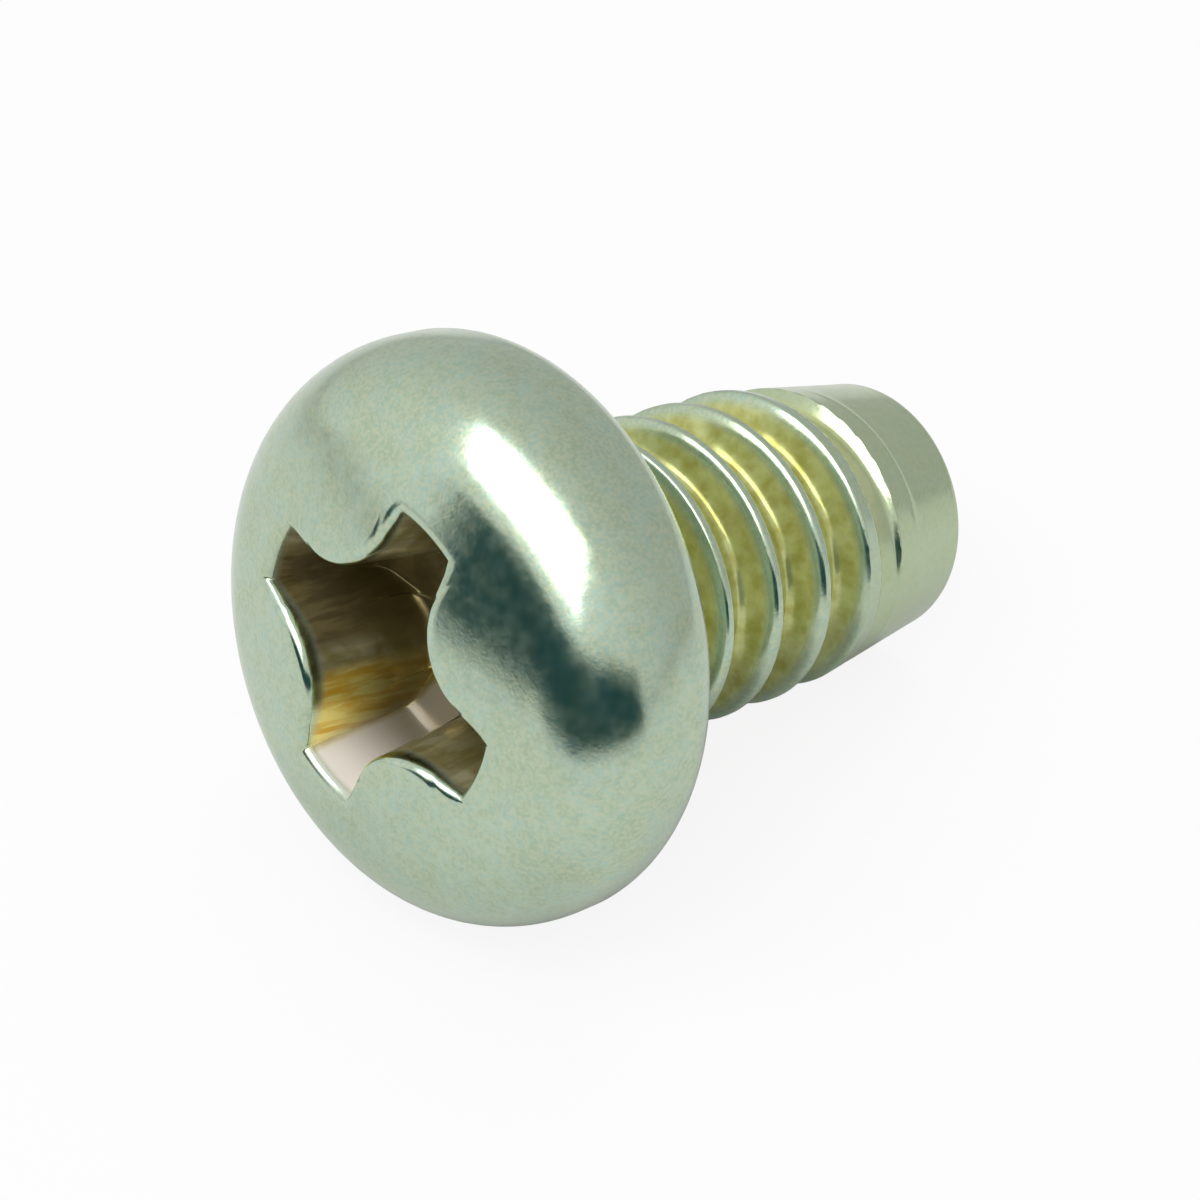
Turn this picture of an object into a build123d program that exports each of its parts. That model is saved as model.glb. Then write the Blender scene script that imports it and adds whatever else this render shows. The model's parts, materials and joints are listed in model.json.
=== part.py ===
from build123d import *

import math
import os

# A self-tapping screw, cold forged and thread rolled in one piece. Millimetres.
#
# It is first made standing on its own axis: Z runs along the screw from the head to
# the tip, and Z = 0 is the bearing face under the head. Radii are measured from Z.
# It is then laid down the way it comes to rest, on its head's edge and its tip.

# Head
head_diameter = 5.5
head_height = 1.9
crown_radius = 7.3
shoulder_radius = 1.03
rim_round = 0.48
neck_fillet = 0.28

# Cross recess, measured where it opens in the crown
recess_span = 3.0
wing_width = 0.66
wing_flare = 7.0
lobe_round = 0.80
flute_draft = 5.75
wing_draft = 13.25
wing_depth = 1.15
recess_depth = 1.60
recess_turn = 12.8

# Shank and thread; the first groove is where it lies uppermost at full depth
shank_length = 4.95
neck_diameter = 2.64
neck_length = 0.30
thread_diameter = 3.10
core_diameter = 2.40
thread_pitch = 0.68
crest_land = 0.10
flank_angle = 20.0
first_groove = 0.815
run_in_turns = 0.5
run_out_turns = 1.0
run_out_to_tip = 1.60

# Plain tapered lead at the tip
lead_length = 1.85
tip_diameter = 2.58
tip_round = 0.08

# How far a cutting shape runs past the surface that it cuts, and the most turns of the
# groove that are cut at once
overrun = 0.10
longest_cut = 0.5

head_radius = head_diameter / 2
neck_radius = neck_diameter / 2
core_radius = core_diameter / 2
thread_radius = thread_diameter / 2
tip_radius = tip_diameter / 2

crown_centre = crown_radius - head_height
shoulder_reach = head_radius - shoulder_radius
shoulder_drop = math.sqrt((crown_radius - shoulder_radius) ** 2 - shoulder_reach**2)
shoulder_z = crown_centre - shoulder_drop
crown_angle = math.degrees(math.atan2(shoulder_reach, shoulder_drop))

groove_outside = thread_radius + crest_land / 4 / math.tan(math.radians(flank_angle))

lead_start = shank_length - lead_length
lead_slope = (thread_radius - tip_radius) / lead_length
lead_angle = math.degrees(math.atan(lead_slope))
tip_round_radius = tip_radius + tip_round * (lead_slope - 1 / math.cos(math.radians(lead_angle)))
tip_round_z = shank_length - tip_round


def turned(edges):
    """The solid of revolution about Z whose half section the edges enclose."""
    return revolve(Plane.XZ * make_face(edges), Axis.Z)


def blank():
    """Head, neck, shank and tapered lead, before the thread and the recess are formed."""
    crown = CenterArc((0, crown_centre), crown_radius, -90, crown_angle)
    shoulder = CenterArc((shoulder_reach, shoulder_z), shoulder_radius, crown_angle - 90, 90 - crown_angle)
    rim = Line((head_radius, shoulder_z), (head_radius, -rim_round))
    lower_edge = CenterArc((head_radius - rim_round, -rim_round), rim_round, 0, 90)
    bearing_face = Line((head_radius - rim_round, 0), (neck_radius + neck_fillet, 0))
    neck_corner = CenterArc((neck_radius + neck_fillet, neck_fillet), neck_fillet, 270, -90)
    tip_corner = CenterArc((tip_round_radius, tip_round_z), tip_round, lead_angle, 90 - lead_angle)
    shank = Polyline(
        (neck_radius, neck_fillet),
        (neck_radius, neck_length),
        (thread_radius, neck_length + thread_radius - neck_radius),
        (thread_radius, lead_start),
        tip_corner @ 0,
    )
    axis = Polyline((tip_round_radius, shank_length), (0, shank_length), (0, -head_height))
    outline = [crown, shoulder, rim, lower_edge, bearing_face, neck_corner, shank, tip_corner, axis]
    return turned(outline)


def groove_section():
    """The space between two crests: a flat root and straight flanks, which run on past the crests."""
    spread = math.tan(math.radians(flank_angle))
    root = (thread_pitch - crest_land) / 2 - (thread_radius - core_radius) * spread
    outside = groove_outside - core_radius
    mouth = root + outside * spread
    return Polyline((0, -root), (outside, -mouth), (outside, mouth), (0, root), close=True)


def groove(first_turn, last_turn, first_radius, last_radius):
    """Right-hand helical groove between two turns, counted from the first full-depth one."""
    height = (last_turn - first_turn) * thread_pitch
    start = first_groove + first_turn * thread_pitch
    cone = math.atan2(last_radius - first_radius, height)
    slant_pitch = thread_pitch / math.cos(cone)
    path = Helix(slant_pitch, height, first_radius, cone_angle=math.degrees(cone))
    section = Plane((first_radius, 0, 0), x_dir=(1, 0, 0), z_dir=(0, -1, 0)) * make_face(groove_section())
    return Pos(0, 0, start) * Rot(0, 0, 360 * first_turn) * sweep(section, path, is_frenet=True)


def thread_grooves():
    """The groove that leaves the thread standing: run-in, full depth, and run-out on the lead."""
    full_turns = (shank_length - run_out_to_tip - first_groove) / thread_pitch
    lengths = math.ceil(full_turns / longest_cut)
    turns = [full_turns * i / lengths for i in range(lengths + 1)]
    run_in = groove(-run_in_turns, 0, groove_outside, core_radius)
    full_depth = [groove(a, b, core_radius, core_radius) for a, b in zip(turns, turns[1:])]
    run_out = groove(full_turns, full_turns + run_out_turns, core_radius, groove_outside)
    return [run_in, *full_depth, run_out]


def cross_outline(grow):
    """The cross at the crown, with straight flared wing sides and round lobes between them."""
    reach = recess_span / 2 + grow
    flare = math.tan(math.radians(wing_flare))
    half_end = wing_width / 2 + grow
    corner = (half_end + reach * flare) / (1 + flare)
    quarter = [(reach, -half_end), (reach, half_end), (corner, corner)]
    points = []
    for turn in range(4):
        for x, y in quarter:
            point = Vector(x, y).rotate(Axis.Z, 90 * turn)
            points.append((point.X, point.Y))
    face = make_face(Polyline(*points, close=True))
    lobes = face.vertices().sort_by_distance((0, 0))[:4]
    return fillet(lobes, lobe_round)


def recess():
    """The space that the driver fills: fluted cross, coned wing ends and a blunt bottom."""
    mouth = crown_centre - math.sqrt(crown_radius**2 - (recess_span / 2) ** 2)
    top = -head_height - overrun
    wing_slope = math.tan(math.radians(wing_draft))
    floor = mouth + wing_depth
    centre = mouth + recess_depth
    grow = (mouth - top) * math.tan(math.radians(flute_draft))
    cross = extrude(Pos(0, 0, top) * cross_outline(grow), recess_depth + mouth - top, taper=flute_draft)
    point = turned(
        Polyline(
            (0, top),
            (recess_span / 2 + (mouth - top) * wing_slope, top),
            (recess_span / 2 - wing_depth * wing_slope, floor),
            (0, centre),
            close=True,
        )
    )
    return Rot(0, 0, recess_turn) * (cross & point)


def resting_angle():
    """Slope of the axis when the rounds of the head's edge and the tip touch one plane."""
    run = tip_round_z + rim_round
    drop = tip_round_radius - (head_radius - rim_round)
    reach = math.hypot(run, drop)
    return math.degrees(math.asin((rim_round - tip_round) / reach) - math.atan2(drop, run))


def lay_down(screw):
    """Turns the screw onto its side, tip towards +X, centred and touching Z = 0."""
    laid = Rot(0, 90 + resting_angle(), 0) * Rot(0, 0, 180) * screw
    box = laid.bounding_box()
    return Pos(-box.center().X, -box.center().Y, -box.min.Z) * laid


screw = blank()
for space in [*thread_grooves(), recess()]:
    screw = screw - space
screw = lay_down(screw)

os.makedirs("parts", exist_ok=True)
export_step(screw, "parts/screw.step")
print("resting angle", round(resting_angle(), 2), "volume", round(screw.volume, 3))
print("solids", len(screw.solids()), "valid", screw.is_valid)
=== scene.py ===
import json
import math

import bpy
import numpy as np
from mathutils import Matrix, Vector


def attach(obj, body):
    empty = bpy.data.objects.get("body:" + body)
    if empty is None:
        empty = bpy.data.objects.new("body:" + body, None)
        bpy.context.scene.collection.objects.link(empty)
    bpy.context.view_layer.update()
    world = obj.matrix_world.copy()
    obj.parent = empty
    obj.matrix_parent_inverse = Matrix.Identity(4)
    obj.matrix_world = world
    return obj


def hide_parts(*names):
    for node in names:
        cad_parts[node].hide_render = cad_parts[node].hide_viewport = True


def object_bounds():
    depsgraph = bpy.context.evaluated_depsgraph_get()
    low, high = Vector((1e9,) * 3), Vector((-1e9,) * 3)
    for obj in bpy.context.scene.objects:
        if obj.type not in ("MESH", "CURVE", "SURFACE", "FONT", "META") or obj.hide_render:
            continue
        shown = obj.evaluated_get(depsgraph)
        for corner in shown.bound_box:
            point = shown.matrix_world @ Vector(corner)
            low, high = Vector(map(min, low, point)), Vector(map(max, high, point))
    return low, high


# A self-tapping screw lying on a pale table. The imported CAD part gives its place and
# its box; this script builds the screw that is seen, at the CAD part's sizes.
#
# The screw's shape is worked out in its own frame, in millimetres: Z runs from the
# head to the tip and is 0 at the bearing face under the head. It is then laid on the
# CAD part's axis, in metres.

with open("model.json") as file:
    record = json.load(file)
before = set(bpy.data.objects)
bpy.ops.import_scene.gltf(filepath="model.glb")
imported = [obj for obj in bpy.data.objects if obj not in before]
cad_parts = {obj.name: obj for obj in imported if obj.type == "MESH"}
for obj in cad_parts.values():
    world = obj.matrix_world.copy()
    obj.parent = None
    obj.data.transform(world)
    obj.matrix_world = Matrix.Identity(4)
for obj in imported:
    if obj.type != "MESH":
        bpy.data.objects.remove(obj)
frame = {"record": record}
cad_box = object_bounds()

MM = 0.001

# Head
head_radius = 2.75
head_height = 1.9
crown_radius = 7.3
shoulder_radius = 1.03
rim_round = 0.48
neck_fillet = 0.28

# Cross recess
recess_reach = 1.5
wing_width = 0.66
wing_flare = math.radians(7.0)
lobe_round = 0.80
flute_draft = math.tan(math.radians(5.75))
wing_draft = math.tan(math.radians(13.25))
wing_depth = 1.15
recess_depth = 1.60
recess_turn = 12.8
mouth_round = 0.10
floor_round = 0.12

# Shank, thread and tapered lead
shank_length = 4.95
neck_radius = 1.32
neck_length = 0.30
thread_radius = 1.55
core_radius = 1.20
thread_pitch = 0.68
crest_land = 0.10
flank_slope = 1 / math.tan(math.radians(20.0))
first_groove = 0.815
root_ease = 0.06
crest_ease = 0.045
blank_ease = 0.015
groove_clearance = 0.07
run_in_turns = 0.5
run_out_turns = 1.0
run_out_to_tip = 1.60
threaded_from = 0.44
threaded_to = 4.22
lead_length = 1.85
tip_radius = 1.29
tip_round = 0.08

# Sides of the recess with colours of their own: a painted highlight, a gold stain and painted
# shade;
# the middle of each, half its width and how far it fades, in degrees
recess_stains_and_painted_light = [
    ("painted_highlight_side", 191.0, 11.0, 5.0),
    ("gold_side", 212.0, 12.0, 8.0),
    ("painted_shade_side", 264.0, 15.0, 9.0),
]

# How far the finish of the lead takes to come in, and where that of the grooves ends
lead_fade = 0.6
grooves_end = 4.5

# The seam that rolling leaves along the crest
crest_seam = 0.014
seam_width = 0.02

# The last, faint turn that the rolling dies left on the lead
faint_turn_at = 4.07
faint_turn_height = 0.010
faint_turn_width = 0.035
faint_turn_middle = math.radians(28)
faint_turn_half = math.radians(45)

# The mesh: its rows of points, how near the axis its last rings come as a part of the
# ring before them, and the angle from which an edge is drawn sharp
floor_rows = 9
corner_rows = 6
wall_rows = 14
crown_rows = 14
shoulder_rows = 20
rim_rows = 14
fillet_rows = 7
neck_rows = 5
thread_rows = 280
tip_rows = 13
end_rows = 4
near_axis = 0.02
sharp_angle = math.radians(38)

# The dark board that stands round the camera's side of the screw, in degrees and metres
board_azimuths = range(-118, -5, 8)
board_near = 0.021
board_set_back = 0.017
board_depth = 0.022
board_foot = 0.0035
board_rise = 18
board_more_rise = 8
board_end = 24
board_end_share = 0.6

# The camera, in degrees and millimetres; it looks at a point off the middle of the part
camera_azimuth = -42.84
camera_elevation = 40.27
camera_distance = 27.97
camera_lens = 90.9
camera_aim = (-0.860, -0.473, -0.049)

crown_centre = crown_radius - head_height
shoulder_reach = head_radius - shoulder_radius
shoulder_drop = math.sqrt((crown_radius - shoulder_radius) ** 2 - shoulder_reach**2)
shoulder_z = crown_centre - shoulder_drop
crown_angle = math.atan2(shoulder_reach, shoulder_drop)
mouth_z = crown_centre - math.sqrt(crown_radius**2 - recess_reach**2)
centre_z = mouth_z + recess_depth
lead_start = shank_length - lead_length
lead_slope = (thread_radius - tip_radius) / lead_length
full_turns = (shank_length - run_out_to_tip - first_groove) / thread_pitch


# ---------------------------------------------------------------- shape of the recess


def wing_angles():
    """Angles round one quarter, closer together at the two corners of the wing."""
    corner_from, corner_to, between_wings = 8.5, 14.0, 45.0
    inner = np.linspace(0, corner_from, 9)[:-1]
    corner = np.linspace(corner_from, corner_to, 17)
    outer = np.linspace(corner_to, between_wings, 25)[1:-1]
    half = np.concatenate([inner, corner, outer])
    return np.concatenate([[-between_wings], -half[:0:-1], half])


def ring_angles():
    """Angles round the whole screw, in radians, and each one's angle from its wing."""
    quarter = wing_angles()
    angles = np.concatenate([quarter + 90 * i for i in range(4)]) + recess_turn
    return np.radians(angles), np.radians(np.abs(np.tile(quarter, 4)))


def cross_radius(wing, grow):
    """Radius of the cross grown by grow, at angles from the nearest wing."""
    flare_x = math.sin(wing_flare)
    flare_y = math.cos(wing_flare)
    side = recess_reach * flare_x + wing_width / 2 * flare_y
    lobe_at = (side + lobe_round) * math.sqrt(2) / (flare_x + flare_y)
    lobe = lobe_round - grow
    across = lobe_at * np.sin(math.pi / 4 - wing)
    along = lobe_at * np.cos(math.pi / 4 - wing)
    round_part = along - np.sqrt(np.maximum(lobe**2 - across**2, 0))
    straight_part = (side + grow) / np.sin(wing + wing_flare)
    lobe_side = lobe_at / math.sqrt(2)
    tangent = math.atan2(lobe_side - flare_y * lobe_round, lobe_side - flare_x * lobe_round)
    return np.where(wing > tangent, round_part, straight_part)


def wall_radius(wing, z, grow=0.0):
    """Radius of the recess wall at a height: fluted sides, and coned wing ends."""
    depth = z - mouth_z
    sides = cross_radius(wing, grow - depth * flute_draft)
    ends = recess_reach + grow - depth * wing_draft
    return np.minimum(sides, ends)


def floor_radius(z):
    """Radius of the blunt point at the bottom of the recess."""
    return (recess_reach - wing_depth * wing_draft) * (centre_z - z) / (recess_depth - wing_depth)


def crown_height(radius):
    return crown_centre - np.sqrt(crown_radius**2 - radius**2)


def mouth_height(wing):
    """Height at which the wall meets the crown, brought nearer step by step."""
    steps = 20
    z = np.full(len(wing), mouth_z)
    for _ in range(steps):
        z = crown_height(wall_radius(wing, z))
    return z


def floor_height(wing):
    """Height at which the wall meets the floor of the recess, found by halving."""
    halvings = 40
    low = np.full(len(wing), mouth_z)
    high = np.full(len(wing), centre_z)
    for _ in range(halvings):
        middle = (low + high) / 2
        above = floor_radius(middle) > wall_radius(wing, middle)
        low = np.where(above, middle, low)
        high = np.where(above, high, middle)
    return low


def eased(first, corner, last, count):
    """Rows round a corner, from a point on one side of it to a point on the other."""
    rows = []
    for t in np.linspace(0, 1, count):
        p, q, r = (1 - t) ** 2, 2 * t * (1 - t), t**2
        rows.append(tuple(p * a + q * b + r * c for a, b, c in zip(first, corner, last)))
    return rows


def straight(first, last, count):
    """Rows strictly between two rows."""
    steps = np.linspace(0, 1, count + 2)[1:-1]
    return [tuple((1 - t) * a + t * b for a, b in zip(first, last)) for t in steps]


def recess_rows(wing):
    """Rows of (radius, z) from the bottom of the recess to the crown just outside it."""
    top = mouth_height(wing)
    foot = floor_height(wing)
    on_floor = (floor_radius(foot + floor_round / 2), foot + floor_round / 2)
    foot_corner = (floor_radius(foot), foot)
    above_foot = foot - floor_round
    on_wall = (wall_radius(wing, above_foot), above_foot)
    below_mouth = (wall_radius(wing, top + mouth_round), top + mouth_round)
    mouth_corner = (wall_radius(wing, top), top)
    outside = wall_radius(wing, top, mouth_round)
    on_crown = (outside, crown_height(outside))
    centre = (near_axis * on_floor[0], (1 - near_axis) * centre_z + near_axis * on_floor[1])
    rows = [centre]
    rows += straight(centre, on_floor, floor_rows)
    rows += eased(on_floor, foot_corner, on_wall, corner_rows)
    rows += [(wall_radius(wing, z), z) for _, z in straight(on_wall, below_mouth, wall_rows)]
    rows += eased(below_mouth, mouth_corner, on_crown, corner_rows)
    return rows


# ------------------------------------------------------------------ shape of the head


def arc_rows(steps, centre, radius, first, last, count):
    """Rows of count points round an arc in the half section, the first one left out."""
    rows = []
    for angle in np.linspace(first, last, steps + 1)[1:]:
        r = centre[0] + radius * math.cos(angle)
        z = centre[1] + radius * math.sin(angle)
        rows.append((np.full(count, r), np.full(count, z)))
    return rows


def head_rows(start):
    """Rows from the mouth of the recess over the crown and round to the bearing face."""
    count = len(start[0])
    crown_end = crown_radius * math.sin(crown_angle)
    rows = []
    for t in np.linspace(0, 1, crown_rows + 1)[1:]:
        radius = start[0] + (crown_end - start[0]) * t
        rows.append((radius, crown_height(radius)))
    quarter = math.pi / 2
    shoulder = (shoulder_reach, shoulder_z)
    rim = (head_radius - rim_round, -rim_round)
    rows += arc_rows(shoulder_rows, shoulder, shoulder_radius, crown_angle - quarter, 0, count)
    rows += arc_rows(rim_rows, rim, rim_round, 0, quarter, count)
    return rows


# ----------------------------------------------------------------- shape of the shank


def soft_ramp(x, ease):
    """x where it is positive and 0 where it is negative, eased over the corner."""
    return np.where(np.abs(x) < ease, (x + ease) ** 2 / (4 * ease), np.maximum(x, 0))


def groove_profile(across):
    """Height of the thread above the core, at distances from the middle of the groove."""
    root = (thread_pitch - crest_land) / 2 - (thread_radius - core_radius) / flank_slope
    crest = (thread_pitch - crest_land) / 2
    away = np.abs(across)
    climb = soft_ramp(away - root, root_ease) - soft_ramp(away - crest, crest_ease)
    seam = crest_seam * np.exp(-(((thread_pitch / 2 - away) / seam_width) ** 2))
    return climb * flank_slope - seam


def groove_lift(turn):
    """How far the groove has risen out of the shank, along its run-in and run-out."""
    rise = thread_radius - core_radius + groove_clearance
    run_in = -turn / run_in_turns
    run_out = (turn - full_turns) / run_out_turns
    return rise * np.clip(np.maximum(run_in, run_out), 0, 4)


def blank_radius(z):
    """Radius of the shank before its thread is rolled."""
    ramp = neck_radius + np.maximum(z - neck_length, 0)
    lead = thread_radius - lead_slope * np.maximum(z - lead_start, 0)
    return np.minimum(ramp, lead)


def faint_turn(z, angle):
    """The last, barely raised turn on the lead."""
    from_middle = (angle + math.pi - faint_turn_middle) % (2 * math.pi) - math.pi
    line = faint_turn_at + thread_pitch * from_middle / (2 * math.pi)
    fade = np.clip(1 - (from_middle / faint_turn_half) ** 2, 0, 1)
    return faint_turn_height * fade * np.exp(-(((z - line) / faint_turn_width) ** 2))


def smaller(a, b, ease):
    """The smaller of two values, eased where they are nearly equal."""
    return b - soft_ramp(b - a, ease)


def thread_surface(z, angle):
    """Radius of the threaded shank at a height, at each angle."""
    turn_here = (z - first_groove) / thread_pitch - angle / (2 * math.pi)
    nearest = np.round(turn_here)
    across = (turn_here - nearest) * thread_pitch
    turn = nearest + angle / (2 * math.pi)
    floor = core_radius + groove_lift(turn) + groove_profile(across)
    return smaller(floor, blank_radius(z), blank_ease) + faint_turn(z, angle)


def shank_rows(angle):
    """Rows from the bearing face along the neck and thread to the tip's end face."""
    count = len(angle)
    neck_start = (neck_radius + neck_fillet, neck_fillet)
    rows = arc_rows(fillet_rows, neck_start, neck_fillet, -math.pi / 2, -math.pi, count)
    heights = np.concatenate([
        np.linspace(neck_fillet, threaded_from, neck_rows + 1)[1:],
        np.linspace(threaded_from, threaded_to, thread_rows + 1)[1:],
        np.linspace(threaded_to, shank_length - tip_round, tip_rows + 1)[1:],
    ])
    rows += [(thread_surface(z, angle), np.full(count, z)) for z in heights]
    side = rows[-1][0]
    end = np.full(count, shank_length)
    rows += eased(rows[-1], (side, end), (side - tip_round, end), corner_rows)[1:]
    rows += straight(rows[-1], (side * near_axis, end), end_rows)
    return rows


# ---------------------------------------------------------------------------- the mesh


def points_of(rows, angle):
    """Every row's points in the screw's own frame, in one array."""
    rings = []
    for radius, z in rows:
        rings.append(np.column_stack([radius * np.cos(angle), radius * np.sin(angle), z]))
    return np.concatenate(rings)


def band_faces(first, rows, count):
    """Four-sided faces between rings of the same count that follow each other."""
    here = np.arange(count)
    there = (here + 1) % count
    faces = []
    for row in range(rows - 1):
        base = first + row * count
        above = base + count
        faces.append(np.column_stack([base + here, base + there, above + there, above + here]))
    return np.concatenate(faces)


def halving_faces(fine, coarse, count):
    """Triangles between a ring and the next one, which has half as many points."""
    faces = []
    for i in range(count // 2):
        a, b, c = fine + 2 * i, fine + 2 * i + 1, fine + (2 * i + 2) % count
        d, e = coarse + i, coarse + (i + 1) % (count // 2)
        faces += [(a, b, d), (b, e, d), (b, c, e)]
    return faces


def build_screw():
    """One closed mesh of the whole screw, with what the finish needs to know of each point."""
    angle, wing = ring_angles()
    count = len(angle)
    recess = recess_rows(wing)
    head = recess + head_rows(recess[-1])
    shank_angle = angle[::2] % (2 * math.pi)
    shank = shank_rows(shank_angle)
    head_points = points_of(head, angle)
    shank_points = points_of(shank, shank_angle)
    ends = np.array([[0, 0, centre_z], [0, 0, shank_length]])
    points = np.concatenate([head_points, shank_points, ends])
    half = count // 2
    first_shank = len(head_points)
    bottom = len(points) - 2
    tip = len(points) - 1
    last_ring = bottom - half
    faces = band_faces(0, len(head), count).tolist()
    faces += halving_faces(first_shank - count, first_shank, count)
    faces += band_faces(first_shank, len(shank), half).tolist()
    faces += [(bottom, (i + 1) % count, i) for i in range(count)]
    faces += [(last_ring + i, last_ring + (i + 1) % half, tip) for i in range(half)]
    mesh = bpy.data.meshes.new("screw_body")
    mesh.from_pydata(points.tolist(), [], faces)
    depth = recess_depth_of(points, len(recess) * count, bottom)
    store(mesh, "in_recess", depth)
    # Masks for the recess's sides: a gold stain, a painted highlight and painted shade
    for name, middle, half_width, ease in recess_stains_and_painted_light:
        store(mesh, name, recess_side_mask(points, middle, half_width, ease))
    store(mesh, "in_groove", groove_depth_of(points, first_shank))
    store(mesh, "on_lead", np.clip((points[:, 2] - lead_start) / lead_fade, 0, 1))
    return mesh


def recess_depth_of(points, recess_points, bottom):
    """0 at the mouth of the recess and outside it, 1 at its bottom."""
    depth = np.zeros(len(points))
    depth[:recess_points] = np.clip((points[:recess_points, 2] - mouth_z) / recess_depth, 0, 1)
    depth[bottom] = 1
    return depth


def recess_side_mask(points, middle, half_width, ease):
    """1 on one side of the recess, fading to 0 round its axis; angles in degrees."""
    angle = np.degrees(np.arctan2(points[:, 1], points[:, 0]))
    away = np.abs((angle - middle + 180) % 360 - 180)
    return np.clip((half_width + ease - away) / ease, 0, 1)


def groove_depth_of(points, first_shank):
    """1 at the root of the thread and 0 on its crests and on the lead."""
    radius = np.hypot(points[:, 0], points[:, 1])
    blank = blank_radius(points[:, 2])
    depth = np.clip((blank - radius) / (thread_radius - core_radius), 0, 1)
    depth[:first_shank] = 0
    depth[points[:, 2] > grooves_end] = 0
    return depth


def store(mesh, name, values):
    """Keeps a value for each point of the mesh, for the material to read."""
    attribute = mesh.attributes.new(name, "FLOAT", "POINT")
    attribute.data.foreach_set("value", values.astype(np.float32))


def axis_of_screw():
    """A point on the CAD part's axis, its way to the tip, and a point on the bearing face."""
    mounts = {mount["name"]: Vector(mount["pos_m"]) for mount in frame["record"]["mounts"]}
    on_axis = mounts["driver_recess"]
    return on_axis, (mounts["thread"] - on_axis).normalized(), mounts["bearing_face"]


def axis_slope():
    """How far the axis slopes down towards the tip, in radians."""
    _, axis, _ = axis_of_screw()
    return math.atan2(-axis.z, axis.x)


def laid_down():
    """Matrix from the screw's own frame in millimetres to where the CAD part lies."""
    on_axis, axis, on_face = axis_of_screw()
    origin = on_axis + axis * (on_face - on_axis).dot(axis)
    side = Vector((0, -1, 0))
    uppermost = side.cross(axis)
    turn = Matrix((uppermost, side, axis)).transposed().to_4x4()
    return Matrix.Translation(origin) @ turn @ Matrix.Scale(MM, 4)


def add_screw():
    """The seen screw, which stands for the CAD node and rides on its body."""
    mesh = build_screw()
    mesh.transform(laid_down())
    mesh.shade_smooth()
    mesh.set_sharp_from_angle(angle=sharp_angle)
    mesh.materials.append(zinc_plate())
    screw = bpy.data.objects.new("screw_body", mesh)
    bpy.context.scene.collection.objects.link(screw)
    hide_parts("screw")
    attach(screw, "root")


# --------------------------------------------------------------------------- materials


def add_node(tree, kind, **inputs):
    """A node with some of its inputs set or joined, by the inputs' names."""
    node = tree.nodes.new("ShaderNode" + kind)
    for name, value in inputs.items():
        put(tree, node.inputs[name.replace("_", " ")], value)
    return node


def put(tree, socket, value):
    """Joins a value to an input if it comes from a node, or else sets the input to it."""
    if isinstance(value, bpy.types.NodeSocket):
        tree.links.new(value, socket)
    else:
        socket.default_value = value


def mix(tree, factor, first, second):
    """Colour that goes from first to second as factor goes from 0 to 1."""
    factor_in, first_in, second_in, colour_out = 0, 6, 7, 2
    node = tree.nodes.new("ShaderNodeMix")
    node.data_type = "RGBA"
    put(tree, node.inputs[factor_in], factor)
    put(tree, node.inputs[first_in], first)
    put(tree, node.inputs[second_in], second)
    return node.outputs[colour_out]


def noise(tree, where, scale, detail=3.0, roughness=0.55, distortion=0.0):
    """Noise from 0 to 1 whose blotches are about 1 / scale millimetres across."""
    node = add_node(tree, "TexNoise", Vector=where, Scale=scale)
    put(tree, node.inputs["Detail"], detail)
    put(tree, node.inputs["Roughness"], roughness)
    put(tree, node.inputs["Distortion"], distortion)
    return node.outputs["Fac"]


def between(tree, value, low, high, to_low=0.0, to_high=1.0):
    """value, brought from the range low to high into the range to_low to to_high."""
    node = add_node(tree, "MapRange", Value=value, From_Min=low, From_Max=high)
    put(tree, node.inputs["To Min"], to_low)
    put(tree, node.inputs["To Max"], to_high)
    node.interpolation_type = "SMOOTHSTEP"
    return node.outputs["Result"]


def clamped(tree, operation, first, second):
    """Result of a sum on two values, held between 0 and 1."""
    node = tree.nodes.new("ShaderNodeMath")
    node.operation = operation
    node.use_clamp = True
    put(tree, node.inputs[0], first)
    put(tree, node.inputs[1], second)
    return node.outputs[0]


def times(tree, first, second):
    return clamped(tree, "MULTIPLY", first, second)


def larger(tree, first, second):
    return clamped(tree, "MAXIMUM", first, second)


def attribute(tree, name):
    """A value that was stored for each point of the mesh."""
    node = tree.nodes.new("ShaderNodeAttribute")
    node.attribute_name = name
    return node.outputs["Fac"]


def millimetres(tree):
    """Place on the object, in millimetres."""
    place = tree.nodes.new("ShaderNodeTexCoord").outputs["Object"]
    scaled = tree.nodes.new("ShaderNodeVectorMath")
    scaled.operation = "SCALE"
    tree.links.new(place, scaled.inputs[0])
    scaled.inputs["Scale"].default_value = 1 / MM
    return scaled.outputs[0]


def drawn_out(tree, where):
    """Place on the object, drawn out along the screw's axis, for marks that run that way."""
    along_axis = 0.12
    turned = add_node(tree, "VectorRotate", Vector=where, Angle=-axis_slope())
    turned.rotation_type = "Y_AXIS"
    longer = tree.nodes.new("ShaderNodeVectorMath")
    longer.operation = "MULTIPLY"
    tree.links.new(turned.outputs[0], longer.inputs[0])
    longer.inputs[1].default_value = (along_axis, 1, 1)
    return longer.outputs[0]


def srgb(red, green, blue):
    """Linear colour of 0 to 255 values."""
    def linear(c):
        c = c / 255
        return c / 12.92 if c <= 0.04045 else ((c + 0.055) / 1.055) ** 2.4
    return (linear(red), linear(green), linear(blue), 1)


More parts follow.
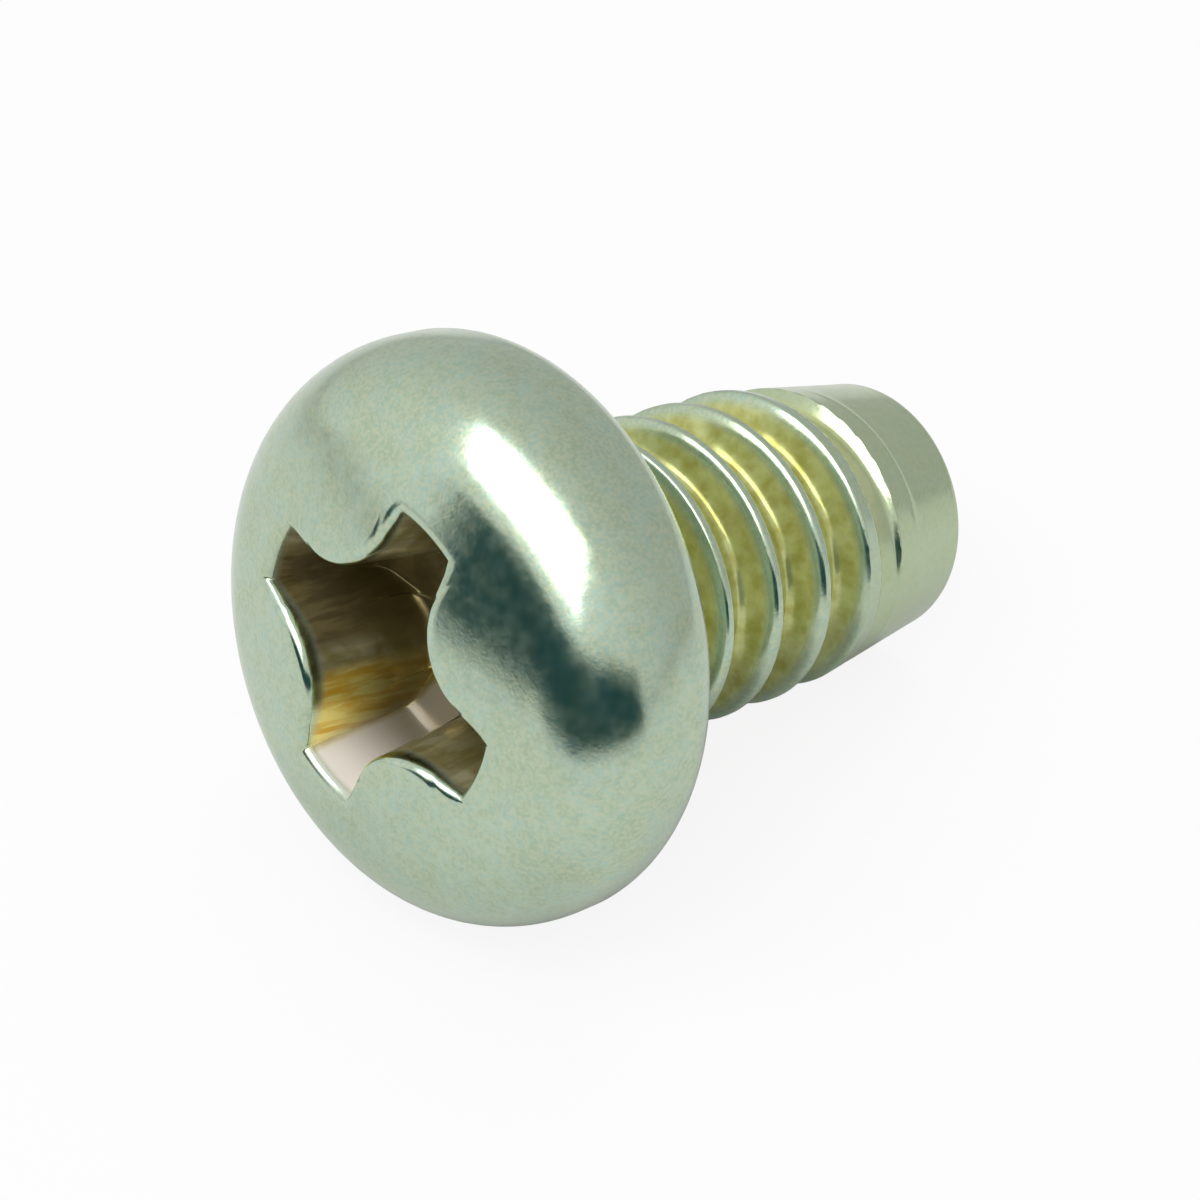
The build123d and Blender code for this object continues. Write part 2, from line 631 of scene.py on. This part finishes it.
def plate_colour(tree, where):
    """Pale grey-green zinc, cloudy at two sizes, with fine grain."""
    cloudy = between(tree, noise(tree, where, 1.3), 0.3, 0.7)
    mottled = between(tree, noise(tree, where, 9.0, detail=4.0), 0.32, 0.68)
    grain = between(tree, noise(tree, where, 26.0, detail=3.0), 0.36, 0.64)
    base = mix(tree, cloudy, srgb(176, 196, 172), srgb(184, 207, 188))
    base = mix(tree, times(tree, mottled, 0.75), base, srgb(168, 188, 160))
    bluish = between(tree, noise(tree, where, 3.4, detail=3.0), 0.42, 0.66)
    base = mix(tree, times(tree, bluish, 0.35), base, srgb(170, 202, 198))
    return mix(tree, times(tree, grain, 0.60), base, srgb(202, 208, 178))


def valley_colour(tree, where):
    """Olive yellow, where the passivation is thicker between the threads."""
    patchy = between(tree, noise(tree, where, 5.0, detail=4.0), 0.3, 0.7)
    return mix(tree, patchy, srgb(166, 166, 88), srgb(196, 202, 138))


def recess_colour(tree, where):
    """Olive and tan, gold low down with a nearly white painted highlight beside it, and painted
    shade in brown on the +Y side and deep in.
    """
    patchy = between(tree, noise(tree, where, 2.6, detail=4.0, distortion=0.6), 0.35, 0.65)
    streaky = between(tree, noise(tree, drawn_out(tree, where), 9.0, detail=4.0), 0.40, 0.60)
    colour = mix(tree, patchy, srgb(200, 196, 156), srgb(158, 148, 98))
    colour = mix(tree, times(tree, streaky, 0.45), colour, srgb(128, 116, 66))
    gold = mix(tree, streaky, srgb(252, 238, 140), srgb(226, 184, 62))
    colour = mix(tree, attribute(tree, "gold_side"), colour, gold)
    # Painted shade: dark brown on the +Y side of the recess
    dark = mix(tree, streaky, srgb(88, 70, 40), srgb(134, 120, 80))
    colour = mix(tree, times(tree, attribute(tree, "painted_shade_side"), 0.85), colour, dark)
    # Painted highlight: a nearly white side of the recess
    colour = mix(tree, attribute(tree, "painted_highlight_side"), colour, srgb(252, 246, 238))
    # Painted shade: darker brown deeper into the recess
    deep = between(tree, attribute(tree, "in_recess"), 0.12, 0.65, 0.0, 0.85)
    return mix(tree, deep, colour, srgb(92, 80, 42))


def zinc_plate():
    """Satin zinc plating, yellower in the grooves, stained in the recess, with painted shade and
    a painted highlight there.
    """
    material = bpy.data.materials.new("zinc_plate")
    material.use_nodes = True
    tree = material.node_tree
    shader = tree.nodes["Principled BSDF"]
    where = millimetres(tree)
    groove = between(tree, attribute(tree, "in_groove"), 0.10, 0.5)
    recess = between(tree, attribute(tree, "in_recess"), 0.0, 0.10)
    colour = mix(tree, groove, plate_colour(tree, where), valley_colour(tree, where))
    colour = mix(tree, recess, colour, recess_colour(tree, where))
    colour = mix(tree, times(tree, attribute(tree, "on_lead"), 0.55), colour, srgb(180, 192, 150))
    tree.links.new(colour, shader.inputs["Base Color"])
    stained = larger(tree, groove, recess)
    metal = between(tree, stained, 0, 1, 1.0, 0.6)
    # Less metal on the painted highlight, so that its nearly white colour shows
    white = times(tree, attribute(tree, "painted_highlight_side"), recess)
    highlight_metal = between(tree, white, 0, 1, 1.0, 0.45)
    tree.links.new(times(tree, metal, highlight_metal), shader.inputs["Metallic"])
    satin = between(tree, noise(tree, where, 6.0, detail=4.0), 0.3, 0.7, 0.15, 0.22)
    tree.links.new(satin, shader.inputs["Roughness"])
    tree.links.new(plate_bump(tree, where), shader.inputs["Normal"])
    return material


def plate_bump(tree, where):
    """Orange-peel waviness and a fine crystalline grain."""
    wavy = noise(tree, where, 4.0, detail=2.0)
    grainy = noise(tree, where, 30.0, detail=3.0)
    waves = add_node(tree, "Bump", Strength=1.0, Distance=0.0016 * MM, Height=wavy)
    grain = add_node(tree, "Bump", Strength=1.0, Distance=0.0005 * MM, Height=grainy)
    tree.links.new(waves.outputs["Normal"], grain.inputs["Normal"])
    return grain.outputs["Normal"]


def matt(name, colour):
    """A plain finish with no gloss."""
    material = bpy.data.materials.new(name)
    material.use_nodes = True
    shader = material.node_tree.nodes["Principled BSDF"]
    shader.inputs["Base Color"].default_value = colour
    shader.inputs["Roughness"].default_value = 1.0
    shader.inputs["Specular IOR Level"].default_value = 0.0
    return material


# -------------------------------------------------------------- table, lights, camera


def add_plane(name, width, length, matrix, material):
    """A flat rectangle that isn't part of the object."""
    x, y = width / 2, length / 2
    mesh = bpy.data.meshes.new(name)
    mesh.from_pydata([(-x, -y, 0), (x, -y, 0), (x, y, 0), (-x, y, 0)], [], [(0, 1, 2, 3)])
    mesh.materials.append(material)
    plane = bpy.data.objects.new(name, mesh)
    plane.matrix_world = matrix
    bpy.context.scene.collection.objects.link(plane)
    return plane


def direction(azimuth, elevation):
    """Unit vector out from the object; azimuth 0 is towards -Y and 90 towards +X."""
    a, e = math.radians(azimuth), math.radians(elevation)
    return Vector((math.sin(a) * math.cos(e), -math.cos(a) * math.cos(e), math.sin(e)))


def add_table():
    """A pale table that shows nearly white to the camera and keeps a soft shadow."""
    grey, side, white_to_camera = 0.62, 1.2, 0.88
    material = matt("white_table", (grey, grey, grey, 1))
    tree = material.node_tree
    shader = tree.nodes["Principled BSDF"]
    glow = add_node(tree, "Emission", Color=(1, 1, 1, 1), Strength=1.0)
    blend = tree.nodes.new("ShaderNodeMixShader")
    seen = tree.nodes.new("ShaderNodeLightPath").outputs["Is Camera Ray"]
    tree.links.new(times(tree, seen, white_to_camera), blend.inputs[0])
    tree.links.new(shader.outputs[0], blend.inputs[1])
    tree.links.new(glow.outputs[0], blend.inputs[2])
    tree.links.new(blend.outputs[0], tree.nodes["Material Output"].inputs["Surface"])
    add_plane("table", side, side, Matrix.Identity(4), material)


def part_way(value, first, last):
    """0 up to first and 1 from last on, with value in between in proportion."""
    return min(max((value - first) / (last - first), 0), 1)


def board_points(azimuth):
    """Foot and top of the board: farther out and higher towards -X, lower at its two ends."""
    near = board_near + board_set_back * part_way(azimuth, -62, -102)
    far = near + board_depth
    highest = board_rise + board_more_rise * part_way(azimuth, -50, -90)
    from_end = min(azimuth - board_azimuths[0], board_azimuths[-1] - azimuth) / board_end
    share = min(board_end_share + (1 - board_end_share) * from_end, 1)
    top = board_foot + far * math.tan(math.radians(highest * share))
    outward = direction(azimuth, 0)
    return outward * near, outward * far + Vector((0, 0, top))


def add_flag():
    """A dark curved board on the camera's side, that draws the dark band on the shoulder."""
    feet, tops = zip(*[board_points(azimuth) for azimuth in board_azimuths])
    count = len(feet)
    faces = [(i, i + 1, count + i + 1, count + i) for i in range(count - 1)]
    mesh = bpy.data.meshes.new("board")
    mesh.from_pydata(feet + tops, [], faces)
    mesh.materials.append(matt("dark_board", (0.012, 0.050, 0.058, 1)))
    board = bpy.data.objects.new("board", mesh)
    bpy.context.scene.collection.objects.link(board)
    board.visible_camera = False
    board.visible_diffuse = False
    board.visible_shadow = False


def add_softbox(name, place, along, width, length, energy):
    """A rectangular softbox that faces the object, long in the direction along."""
    lamp = bpy.data.lights.new(name, "AREA")
    lamp.shape = "RECTANGLE"
    lamp.size = width
    lamp.size_y = length
    lamp.energy = energy
    softbox = bpy.data.objects.new(name, lamp)
    softbox.location = place
    back = place.normalized()
    across = along.cross(back).normalized()
    turn = Matrix((across, back.cross(across), back)).transposed()
    softbox.rotation_mode = "QUATERNION"
    softbox.rotation_quaternion = turn.to_quaternion()
    bpy.context.scene.collection.objects.link(softbox)
    return softbox


def add_softboxes():
    """A long one overhead draws the band along the shoulder; one behind fills the recess."""
    along = Vector((0, 1, 0))
    over = Vector((-0.65, -0.08, 1.0)) * 0.060
    add_softbox("softbox_over", over, along, width=0.050, length=0.076, energy=0.034)
    behind = direction(112, 60) * 0.070
    fill = add_softbox("softbox_behind", behind, along, width=0.030, length=0.034, energy=0.011)
    fill.visible_glossy = False


def add_surroundings():
    """Light all round, stronger from -X, and plain white where the camera sees past the table."""
    from_minus_x, from_plus_x = 0.98, 0.60
    world = bpy.data.worlds.new("studio")
    world.use_nodes = True
    tree = world.node_tree
    background = tree.nodes["Background"]
    background.inputs["Color"].default_value = (1, 1, 1, 1)
    seen = tree.nodes.new("ShaderNodeLightPath").outputs["Is Camera Ray"]
    towards = tree.nodes.new("ShaderNodeTexCoord").outputs["Generated"]
    rightwards = add_node(tree, "SeparateXYZ", Vector=towards).outputs["X"]
    light = between(tree, rightwards, -1, 1, from_minus_x, from_plus_x)
    strength = larger(tree, seen, light)
    tree.links.new(strength, background.inputs["Strength"])
    bpy.context.scene.world = world


def add_camera():
    """A long lens that looks down on the crown of the head from the -X and -Y side."""
    low, high = cad_box
    aim = (low + high) / 2 + Vector(camera_aim) * MM
    back = direction(camera_azimuth, camera_elevation)
    lens = bpy.data.cameras.new("camera")
    lens.sensor_width = 36
    lens.lens = camera_lens
    lens.clip_start = 0.001
    lens.clip_end = 5
    camera = bpy.data.objects.new("camera", lens)
    camera.location = aim + back * camera_distance * MM
    camera.rotation_mode = "QUATERNION"
    camera.rotation_quaternion = (-back).to_track_quat("-Z", "Y")
    bpy.context.scene.collection.objects.link(camera)
    bpy.context.scene.camera = camera


add_screw()
add_table()
add_flag()
add_softboxes()
add_surroundings()
add_camera()
bpy.context.scene.view_settings.view_transform = "Standard"
